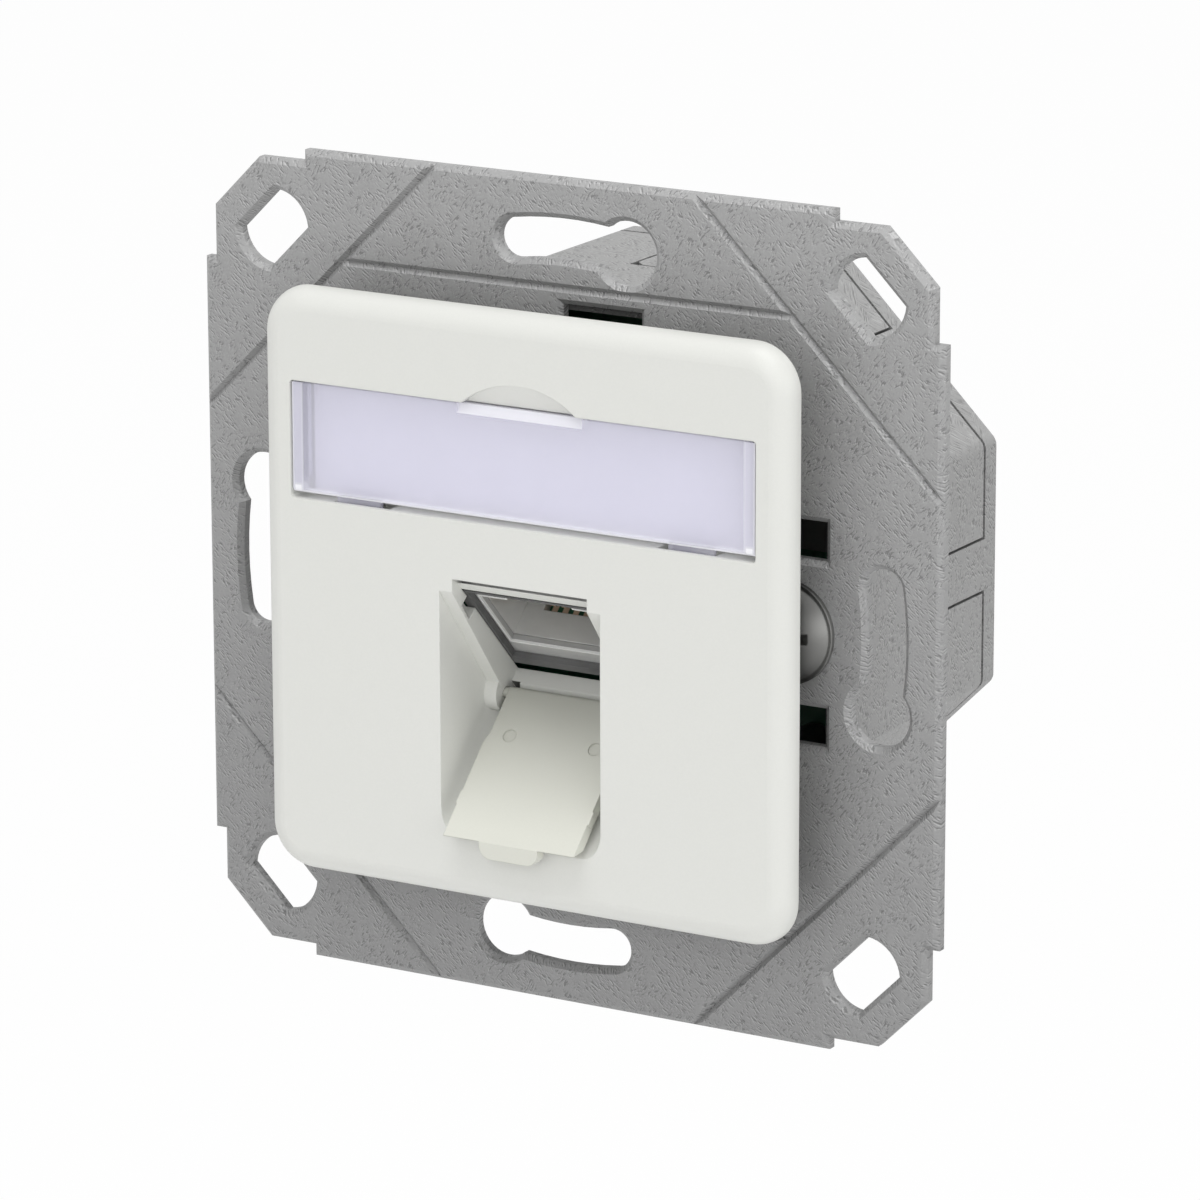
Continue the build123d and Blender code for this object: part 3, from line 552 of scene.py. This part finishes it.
def clear_cover(plastic):
    """Clear plastic, denser over the cover's legs; its lip, edges and feet are painted pale and
    denser as painted highlights.
    """
    f = Finish("Clear cover")
    grain = f.group("Moulded grain", Scale=plastic.grain_scale * COVER_GRAIN_BROADER)
    x, _, z = f.axes()
    across = f.size(x)
    legs = f.math("GREATER_THAN", across, COVER_HALF - COVER_LEG)
    lip = f.times(f.within(x, 0.0, COVER_LIP_HALF),
                  f.math("GREATER_THAN", z, COVER_HIGH - COVER_LIP_DROP))
    rim = f.within(z, COVER_LOW + COVER_EDGE, COVER_EDGE)
    side = f.math("GREATER_THAN", across, COVER_HALF - COVER_EDGE)
    foot_in, foot_half, foot_soft = COVER_FOOT_ACROSS
    foot_up, foot_tall, foot_blur = COVER_FOOT_UP
    foot = f.times(f.within(across, COVER_HALF - foot_in, foot_half, foot_soft),
                   f.within(z, COVER_LOW + foot_up, foot_tall, foot_blur))
    line = f.within(across, COVER_HALF - COVER_LEG, *COVER_LINE)
    # Painted highlights: pale, denser patches on the lip, the lower rim, the sides, the line beside
    # each leg and the feet
    painted_highlights = f.most(f.times(lip, COVER_LIP_STRENGTH), f.times(rim, COVER_RIM_STRENGTH),
                  f.times(side, COVER_SIDE_STRENGTH), f.times(line, COVER_LINE_STRENGTH), foot)
    low, high = COVER_TONES
    tint = f.mix(grain["Mask"], shade(plastic.cover, low), shade(plastic.cover, high))
    tint = f.mix(legs, tint, shade(plastic.cover, COVER_LEG_TONE))
    dense = f.most(painted_highlights, f.times(legs, COVER_LEG_STRENGTH))
    f.set(Base_Color=f.mix(painted_highlights, tint, COVER_HIGHLIGHT_COLOUR), IOR=PLASTIC_IOR,
          Roughness=f.ramp(grain["Mask"], 0.0, 1.0, *COVER_ROUGHNESS),
          Alpha=f.ramp(dense, 0.0, 1.0, *COVER_ALPHA))
    return f.bump(grain["Height"], COVER_GRAIN_DEPTH).material


CARD_FIBRE_SCALE = 3800.0
CARD_TONES = (0.96, 1.03)
CARD_ROUGHNESS = 0.8
CARD_DEPTH = 0.00001


def label_card(plastic):
    f = Finish("Label card")
    fibre = f.noise(f.place, CARD_FIBRE_SCALE, detail=5.0, rough=0.7)
    low, high = CARD_TONES
    f.set(Base_Color=f.mix(fibre, shade(plastic.card, low), shade(plastic.card, high)),
          Roughness=CARD_ROUGHNESS)
    return f.bump(fibre, CARD_DEPTH).material


# The jack's own origin, in the middle of its face, and its tilt
JACK_ORIGIN = Vector((0.0, -0.0023497, -0.0022245))
JACK_TILT = math.radians(45.0)
JACK_ROUND = 0.0001
# The shell's face is painted lighter than the rest, a painted highlight, between these depths
SHELL_FACE_DEPTHS = (0.00002, 0.00008)
SHELL_TONE = 0.85
SHELL_FACE_TONE = 0.92
SHELL_METALLIC = 0.1
SHELL_ROUGHNESS = (0.36, 0.44)


def tinned_shell(steel):
    """Tin whose face is painted slightly lighter, a painted highlight."""
    f = Finish("Tinned shell")
    way = (0.0, math.cos(JACK_TILT), math.sin(JACK_TILT))
    face = f.ramp(f.dot(f.from_point(JACK_ORIGIN), way), *SHELL_FACE_DEPTHS, 1.0, 0.0)
    f.set(Base_Color=f.mix(face, shade(steel.jack, SHELL_TONE), shade(steel.jack, SHELL_FACE_TONE)),
          Metallic=SHELL_METALLIC, Roughness=f.ramp(f.slow(), 0.0, 1.0, *SHELL_ROUGHNESS))
    grain = f.noise(f.place, METAL_GRAIN_SCALE)
    return f.bump(grain, METAL_GRAIN_DEPTH, JACK_ROUND).material


RUBBER_GRAIN_SCALE = 3000.0
RUBBER_TONES = (0.8, 1.3)
RUBBER_ROUGHNESS = 0.75
RUBBER_DEPTH = 0.00003


def gasket_rubber(wiring):
    f = Finish("Gasket rubber")
    grain = f.group("Moulded grain", Scale=RUBBER_GRAIN_SCALE)
    low, high = RUBBER_TONES
    f.set(Base_Color=f.mix(grain["Mask"], shade(wiring.gasket, low), shade(wiring.gasket, high)),
          Roughness=RUBBER_ROUGHNESS)
    return f.bump(grain["Height"], RUBBER_DEPTH).material


BOARD_WEAVE_SCALE = 2400.0
BOARD_WEAVE_MASK = (0.3, 0.7)
BOARD_WEAVE_HEIGHT = 0.3
BOARD_TRACK_SCALE = 420.0
BOARD_TRACK_MASK = (0.5, 0.52)
BOARD_TRACK_TONE = 1.5
BOARD_ROUGHNESS = (0.3, 0.4)
BOARD_DEPTH = 0.00002
CONTACT_PITCH = 0.001016
# Middle, half width and soft border of a copper strip, as shares of the pitch
STRIP = (0.5, 0.27, 0.04)


def circuit_board(name, wiring, pitch=0.0):
    """Green board with faint tracks, and with a pitch also bare copper strips side by side."""
    f = Finish(name)
    weave = f.noise(f.place, BOARD_WEAVE_SCALE, detail=2.0)
    tracks = f.ramp(f.noise(f.place, BOARD_TRACK_SCALE, detail=0.0), *BOARD_TRACK_MASK)
    tone = f.mix(tracks, wiring.board, shade(wiring.board, BOARD_TRACK_TONE))
    if pitch:
        cell = f.math("FRACT", f.math("DIVIDE", f.axes()[0], pitch))
        strip = f.within(cell, *STRIP)
        tone = f.mix(strip, tone, wiring.contacts)
        tracks = f.math("MAXIMUM", tracks, strip)
    f.set(Base_Color=tone, Roughness=f.ramp(weave, *BOARD_WEAVE_MASK, *BOARD_ROUGHNESS))
    height = f.math("ADD", tracks, f.times(weave, BOARD_WEAVE_HEIGHT))
    return f.bump(height, BOARD_DEPTH).material


# Pieces

def dress(material, *names):
    for name in names:
        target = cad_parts[name]
        target.data.materials.clear()
        target.data.materials.append(material)


def add_piece(name, mesh, material, body):
    data = bpy.data.meshes.new(name)
    mesh.to_mesh(data)
    mesh.free()
    piece = bpy.data.objects.new(name, data)
    bpy.context.scene.collection.objects.link(piece)
    data.materials.append(material)
    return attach(piece, body)


# Outline of the jack's mouth from its middle: half width and half height, then half the width
# and the top of the latch's notch
MOUTH_HALF_WIDTH = 0.00597
MOUTH_HALF_HEIGHT = 0.00368
LATCH_HALF_WIDTH = 0.00322
LATCH_TOP = 0.00518
MOUTH_LIP_START = -0.00008
MOUTH_LIP_DEPTH = 0.00024
MOUTH_LIP_RISE = 0.00012


def mouth_lip():
    """A thin bead round the front edge of the jack's mouth, coloured near white as a painted
    highlight on that edge.
    """
    outline = (
        (-MOUTH_HALF_WIDTH, -MOUTH_HALF_HEIGHT), (MOUTH_HALF_WIDTH, -MOUTH_HALF_HEIGHT),
        (MOUTH_HALF_WIDTH, MOUTH_HALF_HEIGHT), (LATCH_HALF_WIDTH, MOUTH_HALF_HEIGHT),
        (LATCH_HALF_WIDTH, LATCH_TOP), (-LATCH_HALF_WIDTH, LATCH_TOP),
        (-LATCH_HALF_WIDTH, MOUTH_HALF_HEIGHT), (-MOUTH_HALF_WIDTH, MOUTH_HALF_HEIGHT))
    mesh = bmesh.new()
    face = mesh.faces.new([mesh.verts.new((x, MOUTH_LIP_START, z)) for x, z in outline])
    # The inset follows the face's normal, which a new face doesn't have yet
    mesh.normal_update()
    ring = bmesh.ops.inset_region(
        mesh, faces=[face], thickness=MOUTH_LIP_RISE, use_boundary=True, use_even_offset=True)
    bmesh.ops.delete(mesh, geom=[face], context="FACES_ONLY")
    grown = bmesh.ops.extrude_face_region(mesh, geom=ring["faces"])["geom"]
    moved = [item for item in grown if isinstance(item, bmesh.types.BMVert)]
    bmesh.ops.translate(mesh, verts=moved, vec=(0.0, MOUTH_LIP_DEPTH, 0.0))
    bmesh.ops.recalc_face_normals(mesh, faces=mesh.faces)
    turn = Matrix.Rotation(JACK_TILT, 4, "X")
    bmesh.ops.transform(mesh, matrix=Matrix.Translation(JACK_ORIGIN) @ turn, verts=mesh.verts)
    return mesh


# Operators

# Middle roughness of each plain finish
ROUGHNESS = {
    "screws": 0.3,
    "plate": 0.38,
    "flap": 0.36,
    "tinned sheet": 0.4,
    "spring": 0.45,
    "mouth": 0.32,
    "lip": 0.25,
    "contacts": 0.28,
    "cradle": 0.5,
    "blocks": 0.45,
    "blades": 0.3,
}
SHEET_METALLIC = 0.5
SPRING_METALLIC = 0.9
MOUTH_METALLIC = 0.6
# Shares of the jack's colour
# The earth spring is coloured far darker than the tin, a painted shade
SPRING_TONE = 0.25
# The insert is coloured lighter than the tin, painted light in the shaded mouth
MOUTH_TONE = 1.45
# The bead's near white colour is a painted highlight
LIP_HIGHLIGHT_TONE = 1.6
CONTACT_GRAIN_SCALE = 6000.0
CRADLE_SPREAD = 0.1


class OUTLET_OT_support_frame(bpy.types.Operator):
    """Finish the punched support frame"""
    bl_idname = "outlet.support_frame"
    bl_label = "Support frame"

    def execute(self, context):
        steel = context.scene.outlet_steel
        sheet = zinc("Zinc sheet", steel.sheet, STROKE_WAYS["sheet"], steel, fade_down)
        dress(sheet, "support_frame")
        return {"FINISHED"}


class OUTLET_OT_housing(bpy.types.Operator):
    """Finish the housing tub and its rear cover"""
    bl_idname = "outlet.housing"
    bl_label = "Housing"

    def execute(self, context):
        steel = context.scene.outlet_steel
        ways = STROKE_WAYS["housing"]
        dress(zinc("Housing zinc", steel.housing, ways, steel, dark_inside), "housing_tub")
        dress(zinc("Cover zinc", steel.housing, ways, steel), "rear_cover")
        return {"FINISHED"}


class OUTLET_OT_screws(bpy.types.Operator):
    """Finish all the screws"""
    bl_idname = "outlet.screws"
    bl_label = "Screws"

    def execute(self, context):
        steel = context.scene.outlet_steel
        turned = plain_metal("Turned steel", steel.screws, ROUGHNESS["screws"])
        dress(turned, "board_screws", "saddle_screws")
        dress(screw_heads(steel), "housing_screws")
        return {"FINISHED"}


class OUTLET_OT_plate(bpy.types.Operator):
    """Finish the central plate"""
    bl_idname = "outlet.plate"
    bl_label = "Central plate"

    def execute(self, context):
        plastic = context.scene.outlet_plastic
        skin = moulded("Plate plastic", plastic.plate, ROUGHNESS["plate"], plastic,
                       round_edge=PLASTIC_ROUND, last_shade=hinge_notches)
        dress(skin, "central_plate")
        return {"FINISHED"}


class OUTLET_OT_label(bpy.types.Operator):
    """Finish the label card and its clear cover"""
    bl_idname = "outlet.label"
    bl_label = "Label"

    def execute(self, context):
        plastic = context.scene.outlet_plastic
        dress(clear_cover(plastic), "label_cover")
        dress(label_card(plastic), "label_card")
        return {"FINISHED"}


class OUTLET_OT_flap(bpy.types.Operator):
    """Finish the dust flap"""
    bl_idname = "outlet.flap"
    bl_label = "Dust flap"

    def execute(self, context):
        plastic = context.scene.outlet_plastic
        skin = moulded("Flap plastic", plastic.flap, ROUGHNESS["flap"], plastic,
                       round_edge=PLASTIC_ROUND, last_shade=darker_hinge)
        dress(skin, "dust_flap")
        return {"FINISHED"}


class OUTLET_OT_jack(bpy.types.Operator):
    """Finish the jack, its contacts, gasket and cradle"""
    bl_idname = "outlet.jack"
    bl_label = "Jack"

    def execute(self, context):
        steel, wiring = context.scene.outlet_steel, context.scene.outlet_wiring
        plastic = context.scene.outlet_plastic
        tin = steel.jack
        dress(tinned_shell(steel), "jack_shell")
        sheet = plain_metal(
            "Tinned sheet", tin, ROUGHNESS["tinned sheet"], metallic=SHEET_METALLIC)
        dress(sheet, "pair_shield", "cable_saddle")
        # Painted shade: the earth spring is darkened far below the tin's colour
        spring = plain_metal(
            "Spring steel", shade(tin, SPRING_TONE), ROUGHNESS["spring"], metallic=SPRING_METALLIC)
        dress(spring, "earth_spring")
        # Painted light: the insert's colour is lifted above the tin's
        mouth = plain_metal(
            "Mouth metal", shade(tin, MOUTH_TONE), ROUGHNESS["mouth"], metallic=MOUTH_METALLIC,
            round_edge=JACK_ROUND)
        dress(mouth, "jack_insert")
        # Painted highlight: a near white bead on the mouth's front edge
        lip_highlight = plain_metal("Bright lip", shade(tin, LIP_HIGHLIGHT_TONE), ROUGHNESS["lip"], metallic=0.0)
        add_piece("mouth_lip", mouth_lip(), lip_highlight, "outlet")
        alloy = plain_metal(
            "Contact alloy", wiring.contacts, ROUGHNESS["contacts"], CONTACT_GRAIN_SCALE)
        dress(alloy, "jack_contacts")
        dress(gasket_rubber(wiring), "jack_gasket")
        cradle = moulded(
            "Cradle plastic", wiring.cradle, ROUGHNESS["cradle"], plastic, spread=CRADLE_SPREAD)
        dress(cradle, "jack_cradle")
        return {"FINISHED"}


class OUTLET_OT_wiring(bpy.types.Operator):
    """Finish the boards, wiring blocks, blades and pins"""
    bl_idname = "outlet.wiring"
    bl_label = "Wiring"

    def execute(self, context):
        plastic, wiring = context.scene.outlet_plastic, context.scene.outlet_wiring
        dress(circuit_board("Circuit board", wiring), "main_board")
        dress(circuit_board("Contact board", wiring, CONTACT_PITCH), "contact_board")
        block = moulded("Block plastic", plastic.blocks, ROUGHNESS["blocks"], plastic)
        dress(block, "blade_block_left", "blade_block_right")
        brass = plain_metal("Tinned brass", wiring.blades, ROUGHNESS["blades"])
        dress(brass, "wire_blades", "jack_pins")
        return {"FINISHED"}


# Stage

FLOOR_HALF = 6.0
FLOOR_COLOUR = (0.9, 0.9, 0.9)
# How far the floor gives way to plain white where it is seen; the rest keeps the shadow
FLOOR_GLOW = 0.96
# Each lamp's name, power setting, place and side
LAMPS = (
    ("key", "key_power", (0.15, -0.7, 0.35), 0.5),
    ("side", "side_power", (0.7, -0.3, 0.12), 0.5),
    ("top", "top_power", (0.05, -0.22, 0.75), 0.5),
    ("rim", "rim_power", (0.25, 0.55, 0.6), 0.4),
)
CAMERA_PLACE = Vector((0.269133, -0.450642, 0.138718))
CAMERA_TARGET = Vector((0.00352, -0.0012, 0.000263))
CAMERA_ROLL = math.radians(-0.146)
CAMERA_LENS = 197.66
CAMERA_SENSOR = 36.0
CAMERA_CLIP = (0.01, 20.0)


def seen_rays(n):
    """1 for the rays by which the surroundings are seen, so that lighting rays stay apart."""
    path = n.add("ShaderNodeLightPath")
    both = n.math("ADD", path.outputs["Is Camera Ray"], path.outputs["Is Glossy Ray"])
    return n.math("ADD", both, path.outputs["Is Transmission Ray"], clamp=True)


def floor_material():
    material = bpy.data.materials.new("Pale floor")
    material.use_nodes = True
    n = Nodes(material.node_tree)
    n.tree.nodes.clear()
    diffuse = n.add("ShaderNodeBsdfDiffuse", {"Color": FLOOR_COLOUR})
    glow = n.add("ShaderNodeEmission", {"Color": WHITE, "Strength": 1.0})
    share = n.times(seen_rays(n), FLOOR_GLOW)
    mixed = n.add("ShaderNodeMixShader", {0: share, 1: diffuse.outputs[0], 2: glow.outputs[0]})
    n.add("ShaderNodeOutputMaterial", {"Surface": mixed.outputs[0]})
    return material


def add_floor(context, drop):
    mesh = bmesh.new()
    bmesh.ops.create_grid(mesh, x_segments=1, y_segments=1, size=FLOOR_HALF)
    bmesh.ops.translate(mesh, verts=mesh.verts, vec=(0.0, 0.0, CAD_LOW.z - drop))
    data = bpy.data.meshes.new("floor")
    mesh.to_mesh(data)
    mesh.free()
    floor = bpy.data.objects.new("floor", data)
    context.scene.collection.objects.link(floor)
    data.materials.append(floor_material())


def add_surroundings(context, strength):
    """Even light from all round, and plain white where it is seen."""
    world = bpy.data.worlds.new("Studio")
    context.scene.world = world
    world.use_nodes = True
    n = Nodes(world.node_tree)
    n.tree.nodes.clear()
    sky = n.add("ShaderNodeBackground", {"Color": WHITE, "Strength": strength})
    shown = n.add("ShaderNodeBackground", {"Color": WHITE, "Strength": 1.0})
    mixed = n.add("ShaderNodeMixShader", {0: seen_rays(n), 1: sky.outputs[0], 2: shown.outputs[0]})
    n.add("ShaderNodeOutputWorld", {"Surface": mixed.outputs[0]})


def add_lamp(context, name, place, power, side):
    """A square lamp that looks at the outlet's origin."""
    data = bpy.data.lights.new(name, "AREA")
    data.energy = power
    data.shape = "SQUARE"
    data.size = side
    holder = bpy.data.objects.new(name, data)
    context.scene.collection.objects.link(holder)
    holder.location = place
    holder.rotation_euler = (-Vector(place)).to_track_quat("-Z", "Y").to_euler()


def add_camera(context):
    data = bpy.data.cameras.new("camera")
    data.lens = CAMERA_LENS
    data.sensor_width = CAMERA_SENSOR
    data.sensor_fit = "HORIZONTAL"
    data.clip_start, data.clip_end = CAMERA_CLIP
    forward = (CAMERA_TARGET - CAMERA_PLACE).normalized()
    level = forward.cross(Vector((0.0, 0.0, 1.0))).normalized()
    upright = level.cross(forward)
    right = level * math.cos(CAMERA_ROLL) + upright * math.sin(CAMERA_ROLL)
    up = upright * math.cos(CAMERA_ROLL) - level * math.sin(CAMERA_ROLL)
    holder = bpy.data.objects.new("camera", data)
    context.scene.collection.objects.link(holder)
    turn = Matrix((right, up, -forward)).transposed().to_4x4()
    holder.matrix_world = Matrix.Translation(CAMERA_PLACE) @ turn
    context.scene.camera = holder


class OUTLET_OT_stage(bpy.types.Operator):
    """Add the floor, the white surroundings, the lamps and the camera"""
    bl_idname = "outlet.stage"
    bl_label = "Stage"

    def execute(self, context):
        studio = context.scene.outlet_studio
        add_floor(context, studio.floor_drop)
        add_surroundings(context, studio.sky)
        for name, power, place, side in LAMPS:
            add_lamp(context, name, place, getattr(studio, power), side)
        add_camera(context)
        context.scene.view_settings.view_transform = "Standard"
        return {"FINISHED"}


class OUTLET_PT_panel(bpy.types.Panel):
    """Lists the outlet's settings and its operators"""
    bl_label = "Outlet"
    bl_idname = "OUTLET_PT_panel"
    bl_space_type = "VIEW_3D"
    bl_region_type = "UI"
    bl_category = "Outlet"

    def draw(self, context):
        for name in SETTINGS:
            group = getattr(context.scene, name)
            box = self.layout.box()
            for key in group.bl_rna.properties.keys():
                if key not in ("rna_type", "name"):
                    box.prop(group, key)
        for operator in OPERATORS:
            self.layout.operator(operator.bl_idname)


SETTINGS = {
    "outlet_steel": OutletSteel,
    "outlet_plastic": OutletPlastic,
    "outlet_wiring": OutletWiring,
    "outlet_studio": OutletStudio,
}
OPERATORS = (
    OUTLET_OT_support_frame,
    OUTLET_OT_housing,
    OUTLET_OT_screws,
    OUTLET_OT_plate,
    OUTLET_OT_label,
    OUTLET_OT_flap,
    OUTLET_OT_jack,
    OUTLET_OT_wiring,
    OUTLET_OT_stage,
)


def register():
    for name, group in SETTINGS.items():
        bpy.utils.register_class(group)
        setattr(bpy.types.Scene, name, bpy.props.PointerProperty(type=group))
    for item in (*OPERATORS, OUTLET_PT_panel):
        bpy.utils.register_class(item)


def unregister():
    for item in reversed((*OPERATORS, OUTLET_PT_panel)):
        bpy.utils.unregister_class(item)
    for name, group in SETTINGS.items():
        delattr(bpy.types.Scene, name)
        bpy.utils.unregister_class(group)


def main():
    register()
    build_groups()
    for operator in OPERATORS:
        group, call = operator.bl_idname.split(".")
        getattr(getattr(bpy.ops, group), call)()


if __name__ == "__main__":
    main()
